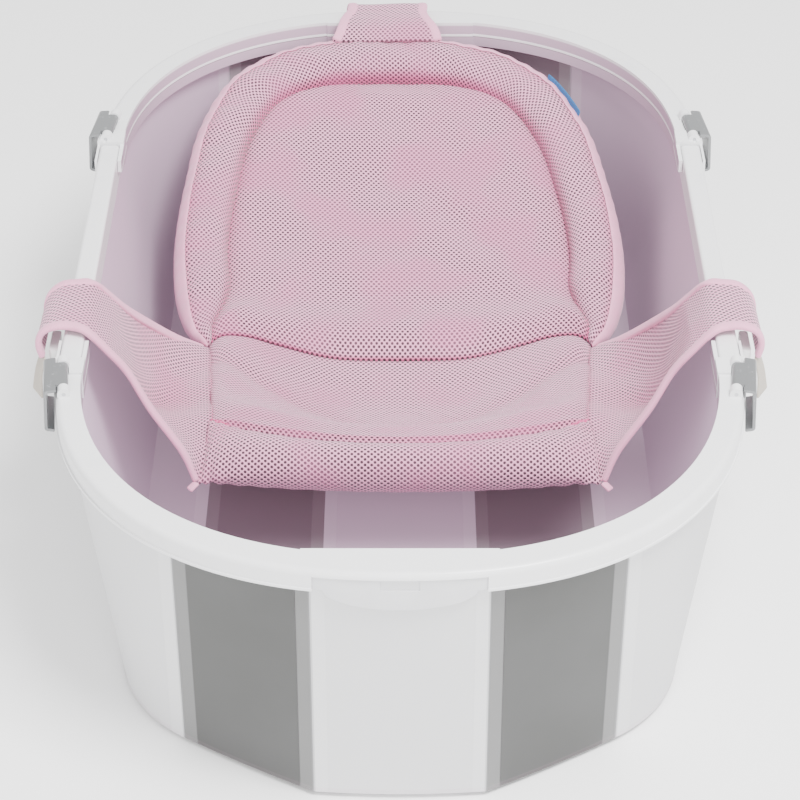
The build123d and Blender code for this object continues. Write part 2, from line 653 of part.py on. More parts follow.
# A blank tab stands against the right edge of the ring.
label_low, label_high = (BACK_LENGTH * share for share in LABEL_RUN)
with BuildPart() as side_label:
    with BuildSketch(BACK_PLANE.offset(-LABEL_HEIGHT / 2)):
        with BuildLine():
            label_out = Spline(*ring_points(-SOFT_GAP - LABEL_THICK))
            label_in = Spline(*ring_points(-SOFT_GAP))
            Line(label_out @ 0, label_in @ 0)
            Line(label_out @ 1, label_in @ 1)
        make_face()
        with Locations((RING_HALF / 2, (label_low + label_high) / 2)):
            Rectangle(RING_HALF, label_high - label_low, mode=Mode.INTERSECT)
    extrude(amount=LABEL_HEIGHT)
finish(side_label.part, "sling_side_label")

# ---- sling: seat, front roll and straps ---------------------------------------------------------
SEAT_HALF = RING_HALF - SEAT_NARROW
ROLL_Y = CREASE_Y - SEAT_RUN
ROLL_Z = HEIGHT - ROLL_DROP
SEAT_REAR = (CREASE_Y + 0.7, CREASE_Z - SEAT_SINK)
SEAT_FRONT = (ROLL_Y + ROLL_RADIUS + SOFT_GAP, ROLL_Z + 1)

with BuildPart() as seat_panel:
    with BuildSketch(Plane.YZ.offset(-SEAT_HALF)):
        with BuildLine():
            Polyline(
                SEAT_REAR,
                SEAT_FRONT,
                (SEAT_FRONT[0], SEAT_FRONT[1] - PANEL_THICK),
                (SEAT_REAR[0], SEAT_REAR[1] - PANEL_THICK),
                close=True,
            )
        make_face()
    extrude(amount=2 * SEAT_HALF)
finish(seat_panel.part, "sling_seat_panel")

with BuildPart() as front_roll:
    with BuildSketch(Plane.YZ.offset(-SEAT_HALF)):
        with Locations((ROLL_Y, ROLL_Z)):
            Circle(ROLL_RADIUS)
    extrude(amount=2 * SEAT_HALF)
    fillet(front_roll.edges().filter_by(GeomType.CIRCLE), ROLL_END_ROUND)
finish(front_roll.part, "sling_front_roll")

STRAP_FRONT = CHEEK_REACH + STRAP_BACK - FACE_Y
STRAP_REAR = STRAP_FRONT + STRAP_WIDTH
STRAP_Z = HEIGHT + STRAP_CLEAR
STRAP_OUT = HALF + STRAP_BULGE
WEB_IN = SEAT_HALF + SOFT_GAP
WEB_OUT = HALF - RAIL_BAND - WEB_CLEAR
WEB_REAR_Z = SEAT_REAR[1] + 1
WEB_FRONT_Z = ROLL_Z + 1
for side, s in SIDES.items():
    with BuildPart() as strap:
        with BuildSketch(Plane.YZ.offset(s * WEB_IN)):
            with BuildLine():
                Polyline(
                    (SEAT_REAR[0], WEB_REAR_Z),
                    (ROLL_Y + WEB_LAP, WEB_FRONT_Z),
                    (ROLL_Y + WEB_LAP, WEB_FRONT_Z - STRAP),
                    (SEAT_REAR[0], WEB_REAR_Z - STRAP),
                    close=True,
                )
            make_face()
        with BuildSketch(Plane.YZ.offset(s * WEB_OUT)):
            with BuildLine():
                Polyline(
                    (STRAP_REAR, STRAP_Z + STRAP),
                    (STRAP_FRONT, STRAP_Z + STRAP),
                    (STRAP_FRONT, STRAP_Z),
                    (STRAP_REAR, STRAP_Z),
                    close=True,
                )
            make_face()
        loft(ruled=True)
        with BuildSketch(Plane.XZ.offset(-STRAP_FRONT)):
            with BuildLine():
                Polyline(
                    (s * WEB_OUT, STRAP_Z),
                    (s * WEB_OUT, STRAP_Z + STRAP),
                    (s * (STRAP_OUT + STRAP), STRAP_Z + STRAP),
                    (s * (STRAP_OUT + STRAP), HEIGHT - STRAP_FALL),
                    (s * STRAP_OUT, HEIGHT - STRAP_FALL),
                    (s * STRAP_OUT, STRAP_Z),
                    close=True,
                )
            make_face()
        extrude(amount=-STRAP_WIDTH)
    finish(strap.part, f"sling_strap_{side}")
    hook_z = HEIGHT - STRAP_FALL - HOOK_FALL
    hook_x = s * (STRAP_OUT + HOOK_THICK / 2)
    tab_x = s * (STRAP_OUT + HOOK_THICK - TAB_THICK / 2)
    with BuildPart() as hook:
        with BuildSketch(Plane.XY.offset(hook_z)):
            with Locations((hook_x, STRAP_FRONT + HOOK_BACK)):
                RectangleRounded(HOOK_THICK, HOOK_LENGTH, HOOK_THICK / 3)
        extrude(amount=HOOK_FALL)
        with BuildSketch(Plane.XY.offset(hook_z - TAB_FALL)):
            with Locations((tab_x, STRAP_FRONT + HOOK_BACK)):
                RectangleRounded(TAB_THICK, TAB_WIDTH, TAB_THICK / 3)
        extrude(amount=TAB_FALL)
    finish(hook.part, f"strap_hook_{side}")

TOP_STRAP_OUT = TIP_Y + LIP_PROUD + STRAP_CLEAR
TOP_STRAP_END = HEIGHT - TOP_STRAP_FALL
with BuildPart() as strap_top:
    with BuildSketch(Plane.YZ.offset(-TOP_STRAP_HALF)):
        with BuildLine():
            Polyline(
                (RING_TOP_Y, STRAP_Z + STRAP),
                (TOP_STRAP_OUT + STRAP, STRAP_Z + STRAP),
                (TOP_STRAP_OUT + STRAP, TOP_STRAP_END),
                (TOP_STRAP_OUT, TOP_STRAP_END),
                (TOP_STRAP_OUT, STRAP_Z),
                (RING_TOP_Y, STRAP_Z),
                close=True,
            )
        make_face()
    extrude(amount=2 * TOP_STRAP_HALF)
finish(strap_top.part, "sling_strap_top")

with BuildPart() as hook_top:
    with BuildSketch(Plane.XY.offset(TOP_STRAP_END - HOOK_FALL)):
        with Locations((0, TOP_STRAP_OUT + STRAP / 2)):
            RectangleRounded(TOP_HOOK_LENGTH, STRAP, STRAP / 3)
    extrude(amount=HOOK_FALL)
finish(hook_top.part, "strap_hook_top")
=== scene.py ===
import math

import bmesh
import bpy
import numpy as np
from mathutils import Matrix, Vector


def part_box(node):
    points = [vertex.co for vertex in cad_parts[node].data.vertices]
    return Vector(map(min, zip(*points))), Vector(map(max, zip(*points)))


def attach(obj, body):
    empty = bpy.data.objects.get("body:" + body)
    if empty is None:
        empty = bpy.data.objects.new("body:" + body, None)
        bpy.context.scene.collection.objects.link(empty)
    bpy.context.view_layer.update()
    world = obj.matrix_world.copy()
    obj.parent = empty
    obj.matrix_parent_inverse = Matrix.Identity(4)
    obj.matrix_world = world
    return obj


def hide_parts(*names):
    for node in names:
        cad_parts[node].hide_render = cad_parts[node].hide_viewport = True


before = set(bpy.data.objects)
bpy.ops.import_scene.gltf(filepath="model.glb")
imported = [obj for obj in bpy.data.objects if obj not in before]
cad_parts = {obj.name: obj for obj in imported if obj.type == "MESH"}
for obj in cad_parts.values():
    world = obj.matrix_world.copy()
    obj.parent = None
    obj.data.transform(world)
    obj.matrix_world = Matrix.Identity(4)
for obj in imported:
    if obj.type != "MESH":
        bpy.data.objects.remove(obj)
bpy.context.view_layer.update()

# ---- the frame: two rails and two end rims -----------------------------------------------------
# White moulded polypropylene channels. The mould is lightly polished, so the tops shine softly
# and the surface keeps a faint ripple; the edges of the collars and rail ends are rounded.


class Wire:
    """A node's output. Arithmetic on it adds Math nodes."""

    def __init__(self, finish, socket):
        self.finish = finish
        self.socket = socket

    def math(self, operation, *others):
        values = dict(enumerate((self, *others)))
        return self.finish.node("Math", {"operation": operation}, values)

    def __add__(self, other):
        return self.math("ADD", other)

    def __radd__(self, other):
        return self.math("ADD", other)

    def __sub__(self, other):
        return self.math("SUBTRACT", other)

    def __rsub__(self, other):
        return self.finish.node("Math", {"operation": "SUBTRACT"}, {0: other, 1: self})

    def __mul__(self, other):
        return self.math("MULTIPLY", other)

    def __rmul__(self, other):
        return self.math("MULTIPLY", other)

    def __truediv__(self, other):
        return self.math("DIVIDE", other)

    def __abs__(self):
        return self.math("ABSOLUTE")

    def fade(self, low, high):
        """0 below low and 1 above high, with a smooth turn between."""
        return self.finish.node(
            "MapRange",
            {"interpolation_type": "SMOOTHSTEP", "clamp": True},
            {"Value": self, "From Min": low, "From Max": high},
        )


class Finish:
    """A material being made: its nodes, and the shader that they feed."""

    def __init__(self, name, **on_shader):
        self.material = bpy.data.materials.new(name)
        self.material.use_nodes = True
        self.tree = self.material.node_tree
        self.shader = self.tree.nodes["Principled BSDF"]
        for socket, value in on_shader.items():
            self.shader.inputs[socket.replace("_", " ")].default_value = value

    def node(self, kind, settings=None, values=None, out=0):
        """Add a node of this kind with its settings made first, then its sockets' values or links."""
        made = self.tree.nodes.new("ShaderNode" + kind)
        for name, value in (settings or {}).items():
            setattr(made, name, value)
        for key, value in (values or {}).items():
            self.feed(made.inputs[key], value)
        return Wire(self, made.outputs[out])

    def feed(self, socket, value):
        if isinstance(value, Wire):
            self.tree.links.new(value.socket, socket)
        else:
            socket.default_value = value

    def place(self):
        """The point in the tub's own frame, as its X, Y and Z wires."""
        return self.split(self.node("TexCoord", out=3))

    def split(self, vector):
        """A vector's three parts, as wires."""
        made = self.node("SeparateXYZ", values={0: vector})
        return [Wire(self, made.socket.node.outputs[i]) for i in range(3)]

    def noise(self, scale, detail=2.0, vector=None):
        point = vector or self.node("TexCoord", out=3)
        return self.node("TexNoise", values={"Vector": point, "Scale": scale, "Detail": detail})

    def mix(self, share, low, high):
        """A colour between low and high."""
        made = self.tree.nodes.new("ShaderNodeMix")
        made.data_type = "RGBA"
        self.feed(made.inputs[0], share)
        self.feed(made.inputs[6], low)
        self.feed(made.inputs[7], high)
        return Wire(self, made.outputs[2])

    def wear(self, colour=None, roughness=None, height=None, depth=0.001):
        """Feed the shader with what changes over the surface."""
        if colour is not None:
            self.feed(self.shader.inputs["Base Color"], colour)
        if roughness is not None:
            self.feed(self.shader.inputs["Roughness"], roughness)
        if height is not None:
            bump = self.node("Bump", values={"Height": height, "Distance": depth, "Strength": 1.0})
            self.feed(self.shader.inputs["Normal"], bump)
        return self.material


def coat(nodes, material):
    """Give CAD nodes their finished material."""
    for name in nodes:
        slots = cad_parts[name].data.materials
        slots.clear()
        slots.append(material)


SKIRT_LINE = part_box("rail_left")[1].z - 0.0125


def moulding(name, shade_inside_mouth=False):
    """White moulding; on the rims the mouth's inner face is painted lilac as shade and pink light reflected
    from the sling, with a bump ridge low on it that carries a painted highlight.
    """
    made = Finish(name, Coat_Weight=0.15, Coat_Roughness=0.2)
    scuff = made.noise(38, 6).fade(0.56, 0.78)
    colour = made.mix(scuff, (0.8, 0.8, 0.81, 1), (0.75, 0.75, 0.765, 1))
    height = made.noise(160, 3) * 0.04
    if shade_inside_mouth:
        x, y, z = made.place()
        facing = made.node("NewGeometry", out=1)
        end_y = abs(y).fade(0.169, 0.19) * y * 0.6
        outward = made.node("CombineXYZ", values={0: x, 1: end_y, 2: 0.0})
        turned = made.node("VectorMath", {"operation": "DOT_PRODUCT"}, {0: facing, 1: outward}, out=1)
        under_top = 1 - z.fade(SKIRT_LINE + 0.009, SKIRT_LINE + 0.0105)
        inward = (1 - turned.fade(-0.08, -0.04)) * under_top
        # Painted light: lilac shade and pink reflection on the mouth's inner face, and a painted highlight
        # line along the low ridge.
        ridge_highlight = 1 - abs(z - SKIRT_LINE).fade(0.0009, 0.0015)
        painted_lilac_shade = made.mix(ridge_highlight, (0.5, 0.38, 0.47, 1), (0.86, 0.86, 0.87, 1))
        colour = made.mix(inward, colour, painted_lilac_shade)
        height = height + ridge_highlight * inward
    return made.wear(colour=colour, roughness=scuff * 0.14 + 0.3, height=height, depth=0.0006)


moulded_white = moulding("moulded_white")
rim_white = moulding("rim_white", shade_inside_mouth=True)


def soften(name, body, material, width, segments=3):
    """Stand a rounded copy in for a hard-edged moulding."""
    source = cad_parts[name]
    shape = bmesh.new()
    shape.from_mesh(source.data)
    bmesh.ops.remove_doubles(shape, verts=shape.verts, dist=0.00002)
    bmesh.ops.dissolve_limit(shape, angle_limit=math.radians(2), verts=shape.verts, edges=shape.edges)
    mesh = bpy.data.meshes.new(name + "_moulded")
    shape.to_mesh(mesh)
    shape.free()
    piece = bpy.data.objects.new(name + "_moulded", mesh)
    bpy.context.scene.collection.objects.link(piece)
    round_off = piece.modifiers.new("round_off", "BEVEL")
    round_off.width = width
    round_off.segments = segments
    round_off.limit_method = "ANGLE"
    round_off.angle_limit = math.radians(32)
    round_off.harden_normals = True
    settle(piece)
    piece.data.materials.clear()
    piece.data.materials.append(material)
    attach(piece, body)
    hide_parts(name)
    return piece


def settle(piece):
    """Turn a piece's modifiers into plain mesh."""
    bpy.context.view_layer.update()
    seen = piece.evaluated_get(bpy.context.evaluated_depsgraph_get())
    mesh = bpy.data.meshes.new_from_object(seen)
    piece.modifiers.clear()
    piece.data = mesh


for side in ("left", "right"):
    soften(f"rail_{side}", "tub", moulded_white, 0.0006)
coat(["rim_front", "rim_rear"], rim_white)

# ---- pins --------------------------------------------------------------------------------------
# Plain drawn steel pins pressed through the collars' cheeks and through the clips' knuckles.
# Only their ends show, with the fine rings that the cutting tool leaves.

pin_finish = Finish("drawn_steel", Metallic=1.0)
steel_grain = pin_finish.noise(900, 2)
drawn_steel = pin_finish.wear(
    colour=pin_finish.mix(steel_grain, (0.5, 0.5, 0.52, 1), (0.66, 0.66, 0.68, 1)),
    roughness=steel_grain * 0.2 + 0.25,
    height=steel_grain,
    depth=0.00003,
)
coat([f"{kind}_pins_{end}" for kind in ("collar", "clip") for end in ("front", "rear")], drawn_steel)

# ---- clips -------------------------------------------------------------------------------------
# Grey extruded clips, satin like anodised metal, with a barrel on the pin and a plate down the
# outside. The extrusion leaves faint lines along the barrel.

clip_finish = Finish("satin_grey", Metallic=0.55)
_, along_clip, up_clip = clip_finish.place()
clip_stretch = clip_finish.node("CombineXYZ", values={1: along_clip * 2, 2: up_clip * 900})
clip_lines = clip_finish.noise(3.0, 2, clip_stretch)
clip_scratch = clip_finish.noise(240, 5).fade(0.6, 0.75)
satin_grey = clip_finish.wear(
    colour=clip_finish.mix(clip_scratch, (0.21, 0.215, 0.22, 1), (0.3, 0.3, 0.31, 1)),
    roughness=clip_scratch * 0.15 + 0.28,
    height=clip_lines,
    depth=0.00005,
)
for end in ("front", "rear"):
    for side in ("left", "right"):
        name = f"clip_{end}_{side}"
        soften(name, name, satin_grey, 0.0004)

# ---- grip plates -------------------------------------------------------------------------------
# A smooth white plate set in each rim's outer skirt, with a finger recess and a half-oval apron.
# It is moulded in white plastic like the rims, and is a little glossier than they are.

grip_finish = Finish("grip_white", Coat_Weight=0.2, Coat_Roughness=0.15)
grip_haze = grip_finish.noise(60, 4)
grip_white = grip_finish.wear(
    colour=grip_finish.mix(grip_haze, (0.66, 0.66, 0.675, 1), (0.61, 0.61, 0.63, 1)),
    roughness=grip_haze * 0.12 + 0.24,
    height=grip_haze,
    depth=0.00003,
)
for end in ("front", "rear"):
    soften(f"grip_{end}", f"{end}_rim", grip_white, 0.0007)

# ---- shell: walls and floor --------------------------------------------------------------------
# Stiff polypropylene panels joined by flexible bands, white and grey in turn. Beside each seam a
# band of softer plastic, a little smoother, lets the shell fold flat. Both skins are fine grained.

SEAM_LINES = (0.060, 0.154)
BAND = 0.0098


def panel_finish(name, outside, inner_painted_light, floor_light_share, painted_glow):
    """A panel's finish: the outer skin's colour, painted light on the inner skin (lilac shade and pink
    light reflected from the sling, pinker on the floor), and a painted glow there that is stronger towards
    the front.
    """
    made = Finish(name, Emission_Strength=1.0)
    x, y, z = made.place()
    from_seam = abs(abs(x) - SEAM_LINES[0]).math("MINIMUM", abs(abs(x) - SEAM_LINES[1]))
    on_end = abs(y).fade(0.33, 0.34)
    on_floor = 1 - z.fade(0.0072, 0.0085)
    band = (1 - from_seam.fade(BAND - 0.0006, BAND + 0.0006)) * on_end.math("MAXIMUM", on_floor)
    seam = (1 - from_seam.fade(0.0004, 0.0014)) * on_end
    facing = made.node("NewGeometry", out=1)
    centre_y = abs(y).fade(0.17, 0.2) * y
    outward = made.node("CombineXYZ", values={0: x, 1: centre_y, 2: 0.0})
    turned = made.node("VectorMath", {"operation": "DOT_PRODUCT"}, {0: facing, 1: outward}, out=1)
    upward = made.split(facing)[2]
    level = abs(upward).fade(0.6, 0.8)
    inner = (1 - turned.fade(-0.01, 0.01)) * (1 - level) + on_floor * upward.fade(0.6, 0.8)
    # Painted glow: the inner skin and the floor give off light, more towards the front, though no lamp is
    # there.
    glow_share = inner * (1 - y.fade(-0.2, 0.1) * 0.75)
    made.feed(made.shader.inputs["Emission Color"], made.mix(glow_share, (0, 0, 0, 1), painted_glow))
    grain = made.noise(1500, 3)
    cloud = made.noise(9, 4).fade(0.3, 0.7)
    # Painted light: the inner skin takes lilac shade and pink reflected light, and the floor is pinker
    # still.
    skin = made.mix(inner, outside, inner_painted_light)
    floor_painted_light = tuple((a + b) / 2 for a, b in zip(inner_painted_light, (0.55, 0.4, 0.47, 1)))
    skin = made.mix(on_floor * floor_light_share, skin, floor_painted_light)
    shade = made.mix(cloud * 0.06, skin, (0.3, 0.3, 0.32, 1))
    colour = made.mix(seam * 0.5, made.mix(band * 0.1, shade, (1, 1, 1, 1)), (0.25, 0.25, 0.26, 1))
    height = grain * (1 - band * 0.7) * 0.1 - seam + band * 0.35
    return made.wear(colour=colour, roughness=0.5 - band * 0.12 + cloud * 0.05, height=height, depth=0.0004)


panel_white = panel_finish(
    "panel_white",
    outside=(0.64, 0.64, 0.65, 1),
    inner_painted_light=(0.47, 0.345, 0.445, 1),
    floor_light_share=0.2,
    painted_glow=(0.36, 0.268, 0.348, 1),
)
panel_grey = panel_finish(
    "panel_grey",
    outside=(0.052, 0.052, 0.05, 1),
    inner_painted_light=(0.2, 0.15, 0.18, 1),
    floor_light_share=0.1,
    painted_glow=(0.075, 0.058, 0.068, 1),
)
coat(["centre_front_panel", "centre_rear_panel", "side_shell_left", "side_shell_right"], panel_white)
coat(["floor_strip_centre", "floor_strip_side_left", "floor_strip_side_right"], panel_white)
for end in ("front", "rear"):
    coat([f"grey_{end}_panel_{side}" for side in ("left", "right")], panel_grey)
coat(["floor_strip_grey_left", "floor_strip_grey_right"], panel_grey)

# ---- drain and feet ----------------------------------------------------------------------------
# The seat is a white moulding welded in the floor, the plug a grey rubber stopper with a pull
# ring, and the feet are pale rubber pads with a fine non-slip texture.

seat_finish = Finish("drain_white", Roughness=0.4)
seat_haze = seat_finish.noise(300, 3)
drain_white = seat_finish.wear(
    colour=seat_finish.mix(seat_haze, (0.74, 0.68, 0.73, 1), (0.7, 0.64, 0.69, 1)),
    height=seat_haze,
    depth=0.00004,
)
soften("drain_seat", "tub", drain_white, 0.0005)

rubber_finish = Finish("rubber_grey", Roughness=0.62)
rubber_speckle = rubber_finish.noise(700, 4)
rubber_grey = rubber_finish.wear(
    colour=rubber_finish.mix(rubber_speckle, (0.16, 0.16, 0.17, 1), (0.2, 0.2, 0.21, 1)),
    height=rubber_speckle,
    depth=0.00008,
)
soften("drain_plug", "drain_plug", rubber_grey, 0.0005)

foot_finish = Finish("rubber_pale", Roughness=0.7)
foot_dimples = foot_finish.node("TexVoronoi", values={"Scale": 420.0})
rubber_pale = foot_finish.wear(
    colour=foot_finish.mix(foot_dimples.fade(0.1, 0.6), (0.6, 0.6, 0.61, 1), (0.7, 0.7, 0.71, 1)),
    height=foot_dimples,
    depth=0.0002,
)
coat([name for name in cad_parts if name.startswith("foot_")], rubber_pale)

# ---- sling: the mesh fabric --------------------------------------------------------------------
# Pink polyester spacer mesh, about 3 mm thick: two knitted faces with staggered oval holes, held
# apart by fine standing yarns. It is sewn into pads and edged with a ribbed pink binding tape.

HOLE_PITCH = 0.0043
ROW_PITCH = 0.0050


def cloth_ways(made):
    """How far across and along the cloth a point lies, and how much painted shade it takes in its seams,
    creases and valleys, as three wires.
    """
    return made.split(made.node("Attribute", {"attribute_name": "cloth"}, out=1))


def mesh_finish(name, knit, valley, hole_shade):
    """Spacer mesh whose holes follow the cloth's own directions."""
    made = Finish(name, Sheen_Weight=0.35, Sheen_Roughness=0.5, Roughness=0.75)
    across, along, crease_shade = cloth_ways(made)
    across = across / HOLE_PITCH
    along = along / ROW_PITCH

    def row_of_holes(shift):
        x = (across + shift).math("FRACT") - 0.5
        y = (along + shift).math("FRACT") - 0.5
        return (x * x + y * y * 1.35).math("SQRT")

    nearest = row_of_holes(0.0).math("MINIMUM", row_of_holes(0.5))
    hole_mask = 1 - nearest.fade(0.22, 0.3)
    strand = made.noise(1400, 2)
    cloud = made.noise(17, 3).fade(0.42, 0.66)
    # Painted shade: the cloth turns a darker, deeper pink in its seams, creases and valleys.
    ground = made.mix(crease_shade.math("MINIMUM", 1.0), knit, valley)
    ground = made.mix(cloud * 0.42 + strand * 0.12, ground, (0.6, 0.12, 0.31, 1))
    # The staggered holes are the knit's real pattern; their near-black colour is painted shade in them.
    colour = made.mix(hole_mask * (0.97 - cloud * 0.2), ground, hole_shade)
    height = nearest.fade(0.1, 0.42) + strand * 0.15
    return made.wear(colour=colour, height=height, depth=0.0007)


mesh_pink = mesh_finish("mesh_pink", (0.76, 0.33, 0.5, 1), (0.52, 0.05, 0.19, 1), (0.02, 0.003, 0.009, 1))

tape_finish = Finish("tape_pink", Sheen_Weight=0.3, Roughness=0.7)
tape_rib = (cloth_ways(tape_finish)[1] * (math.tau / 0.0011)).math("SINE")
tape_fuzz = tape_finish.noise(900, 3)
tape_pink = tape_finish.wear(
    colour=tape_finish.mix(tape_fuzz * 0.6 + tape_rib * 0.08, (0.8, 0.34, 0.52, 1), (0.7, 0.25, 0.41, 1)),
    height=tape_rib * 0.5 + tape_fuzz,
    depth=0.00015,
)


def smooth_path(points, count):
    """Points evenly along a smooth line that passes through the given ones."""
    points = np.array(points, float)
    ends = 2 * points[0] - points[1], 2 * points[-1] - points[-2]
    held = np.vstack([ends[0], points, ends[1]])
    fine = []
    for i in range(1, len(held) - 2):
        a, b, c, d = held[i - 1 : i + 3]
        for t in np.linspace(0, 1, 24, endpoint=False):
            bend = (2 * a - 5 * b + 4 * c - d) * t**2 + (3 * b - a - 3 * c + d) * t**3
            fine.append(0.5 * (2 * b + (c - a) * t + bend))
    fine.append(points[-1])
    fine = np.array(fine)
    run = np.concatenate([[0], np.cumsum(np.linalg.norm(np.diff(fine, axis=0), axis=1))])
    wanted = np.linspace(0, run[-1], count)
    return np.stack([np.interp(wanted, run, fine[:, k]) for k in range(3)], axis=1)


def woven(name, rows, ring=False, crease_shade=None):
    """A piece from a grid of points, with the cloth's own directions written on it in metres, and the
    painted shade of its seams, creases and valleys.
    """
    rows = np.array(rows, float)
    n, m = rows.shape[:2]
    points = rows.reshape(-1, 3)
    faces = []
    for i in range(n - 1):
        for j in range(m if ring else m - 1):
            k = (j + 1) % m
            faces.append((i * m + j, i * m + k, (i + 1) * m + k, (i + 1) * m + j))
    if ring:
        faces.append(tuple(range(m))[::-1])
        faces.append(tuple((n - 1) * m + j for j in range(m)))
    mesh = bpy.data.meshes.new(name)
    mesh.from_pydata(points.tolist(), [], faces)
    along = np.zeros((n, m))
    along[1:] = np.cumsum(np.linalg.norm(np.diff(rows, axis=0), axis=2), axis=0).mean(axis=1)[:, None]
    across = np.zeros((n, m))
    across[:, 1:] = np.cumsum(np.linalg.norm(np.diff(rows, axis=1), axis=2), axis=1)
    across -= across[:, m // 2][:, None]
    depth = np.zeros((n, m)) if crease_shade is None else np.array(crease_shade, float)
    cloth = np.stack([across, along, depth], axis=2).reshape(-1)
    mesh.attributes.new("cloth", "FLOAT_VECTOR", "POINT").data.foreach_set("vector", cloth)
    mesh.polygons.foreach_set("use_smooth", [True] * len(mesh.polygons))
    piece = bpy.data.objects.new(name, mesh)
    bpy.context.scene.collection.objects.link(piece)
    return piece


def refine(piece, thick=0.0, levels=1, offset=0.0):
    """Give a sheet its thickness and smooth the piece."""
    if thick:
        solid = piece.modifiers.new("thick", "SOLIDIFY")
        solid.thickness = thick
        solid.offset = offset
    if levels:
        smooth = piece.modifiers.new("smooth", "SUBSURF")
        smooth.levels = levels
        smooth.render_levels = levels
    settle(piece)
    return piece


def plump(piece, pressure, cap):
    """Fill a closed pad with air for a moment, so that its cloth swells and creases."""
    scene = bpy.context.scene
    start = np.array([v.co for v in piece.data.vertices])
    air = piece.modifiers.new("air", "CLOTH")
    air.settings.use_pressure = True
    air.settings.uniform_pressure_force = pressure
    air.settings.mass = 0.25
    air.settings.tension_stiffness = 8
    air.settings.compression_stiffness = 8
    air.settings.shear_stiffness = 4
    air.settings.bending_stiffness = 0.3
    air.settings.effector_weights.gravity = 0
    air.point_cache.frame_start = 1
    air.point_cache.frame_end = 20
    for step in range(1, 21):
        scene.frame_set(step)
    seen = piece.evaluated_get(bpy.context.evaluated_depsgraph_get())
    end = np.array([v.co for v in seen.data.vertices])
    piece.modifiers.clear()
    scene.frame_set(1)
    move = end - start
    length = np.linalg.norm(move, axis=1, keepdims=True)
    end = start + move * np.minimum(1, cap / np.maximum(length, 1e-9))
    piece.data.vertices.foreach_set("co", end.reshape(-1))
    piece.data.update()
    return piece


def dress(piece, material):
    piece.data.materials.clear()
    piece.data.materials.append(material)
    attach(piece, "sling")
    return piece


# ---- sling: back ring and back panel -----------------------------------------------------------
# The head end is a padded horseshoe tube round a taut, slightly hollow panel. The tube's ends are
# pinched to a point where they meet the seat's crease, and tape binds its outer edge.

ring_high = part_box("sling_back_ring")[1]
RING_HALF = ring_high.x
CORNER = (0.1585, 0.046, 0.082)
CREASE = Vector((0, 0.052, 0.069))
RECLINE = math.atan2(ring_high.z - 0.018 - CREASE.z, ring_high.y - CREASE.y)
UP_BACK = Vector((0, math.cos(RECLINE), math.sin(RECLINE)))
OFF_BACK = Vector((0, -math.sin(RECLINE), math.cos(RECLINE)))
BACK_LENGTH = (ring_high.y - 0.004 - CREASE.y) / math.cos(RECLINE)
TUBE = 0.048
TUBE_THICK = 0.034
SLEW = -0.012  # the sling lies a little to one side at its head

crease_path = smooth_path(
    [
        (0, 0.048, 0.068),
        (0.055, 0.047, 0.071),
        (0.1, 0.059, 0.076),
        (0.125, 0.063, 0.082),
        (0.147, 0.058, 0.086),
        CORNER,
    ],
    80,
)


def crease_at(x):
    """The point of the seat's crease at this place across."""
    y, z = (np.interp(abs(x), crease_path[:, 0], crease_path[:, k]) for k in (1, 2))
    return Vector((x, y, z))


def on_back(x, share, height=0.0):
    """A point on the reclined back, by its place across, its share of the way up and its height."""
    drawn = (crease_at(x) - CREASE - Vector((x, 0, 0))) * max(0.0, 1 - share / 0.3) ** 2
    across = Vector((x + SLEW * share**2, 0, 0))
    return CREASE + drawn + across + UP_BACK * (share * BACK_LENGTH) + OFF_BACK * height


RING_SHAPE = (
    (0.862, 0.0), (0.945, 0.04), (0.998, 0.11), (1.028, 0.2), (1.034, 0.33),
    (1.0, 0.5), (0.915, 0.71), (0.73, 0.88), (0.4, 0.978),
)
half_ring = [(RING_HALF * x, share) for x, share in RING_SHAPE]
whole_ring = [*half_ring, (0, 1.0), *((-x, share) for x, share in reversed(half_ring))]
ring_edge = smooth_path([(x, share * BACK_LENGTH, 0) for x, share in whole_ring], 200)
ring_way = np.gradient(ring_edge, axis=0)
ring_way /= np.linalg.norm(ring_way, axis=1, keepdims=True)
ring_in = np.stack([-ring_way[:, 1], ring_way[:, 0], 0 * ring_way[:, 0]], axis=1)


def ring_width(i):
    """The tube's share of its full width at step i, pinched at its two ends."""
    from_end = min(i, len(ring_edge) - 1 - i) / (len(ring_edge) - 1)
    return 0.1 + 0.9 * math.sin(min(1.0, from_end / 0.09) * math.pi / 2) ** 0.8


TUBE_STEPS = 24
tube_rows = []
tube_crease_shade = []
for i, edge in enumerate(ring_edge):
    width = TUBE * ring_width(i)
    thick = TUBE_THICK * ring_width(i) ** 0.8
    row, depth = [], []
    for angle in np.linspace(0, math.tau, TUBE_STEPS, endpoint=False):
        turn = angle - math.pi / 2
        side = math.copysign(abs(math.cos(turn)) ** 0.85, math.cos(turn))
        rise = math.copysign(abs(math.sin(turn)) ** 0.9, math.sin(turn))
        pucker = 0.0011 * math.sin(i * 1.7 + 2.0 * side) * (0.5 - 0.5 * side)
        drag = 0.0012 * math.sin(i * 0.45 + 3 * side) * (1 - side * side)
        middle = edge + ring_in[i] * (width / 2 * (1 + side))
        row.append(on_back(middle[0], middle[1] / BACK_LENGTH, thick / 2 * rise + pucker + drag + 0.001))
        # Painted shade along the tube's inner seam and along a crease on its face.
        inner_seam = 0.9 * math.exp(-(((1 - side) / 0.16) ** 2))
        depth.append(inner_seam + 0.45 * math.exp(-(((side + 0.5) / 0.14) ** 2)))
    tube_rows.append(row)
    tube_crease_shade.append(depth)
back_ring = woven("sling_back_ring_pad", tube_rows, ring=True, crease_shade=tube_crease_shade)
plump(back_ring, 5.0, 0.002)
swollen = np.array([v.co for v in back_ring.data.vertices]).reshape(len(ring_edge), TUBE_STEPS, 3)
refine(back_ring)
dress(back_ring, mesh_pink)
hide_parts("sling_back_ring")

